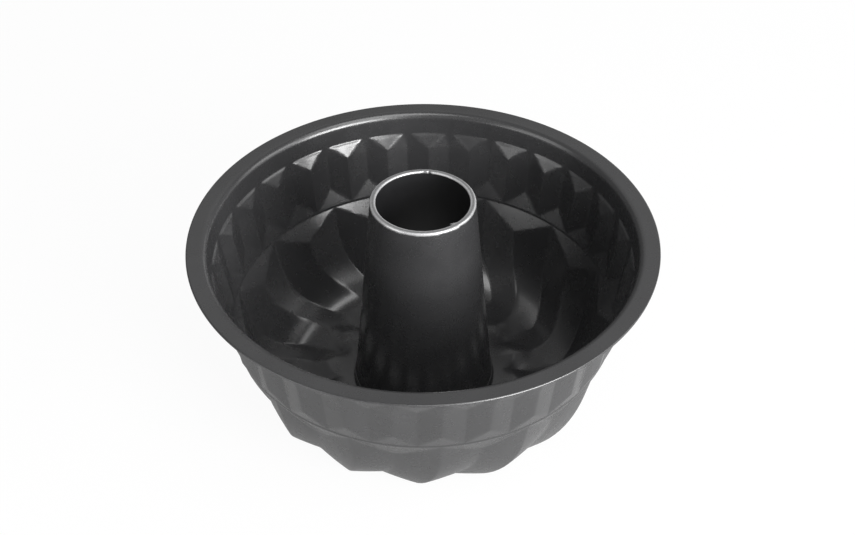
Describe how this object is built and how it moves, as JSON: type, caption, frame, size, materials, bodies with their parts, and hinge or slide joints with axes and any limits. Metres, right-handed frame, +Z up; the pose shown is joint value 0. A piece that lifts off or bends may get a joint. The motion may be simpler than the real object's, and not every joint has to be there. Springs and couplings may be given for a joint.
{
  "type": "tube pan",
  "caption": "Round fluted cake mould of thin dark coated steel: flat hemmed rim, straight upper flutes, turned lower flutes and an open conical centre tube.",
  "frame": {"origin": "on the centre tube's axis, in the plane of the table that the fluted bottom stands on", "axes": "+Z up along the centre tube's axis; +Y through the middle of one long hollow where it leaves the step, at the back of the pan; +X to the right seen from the front"},
  "size_m": [0.23, 0.23, 0.117],
  "materials": {
    "shell_coating": "satin dark grey non-stick coating on thin steel sheet",
    "tube_coating": "satin dark grey non-stick coating on thin steel sheet"
  },
  "bodies": {
    "root": {"mould_shell": "shell_coating", "centre_tube": "tube_coating"}
  },
  "joints": []
}
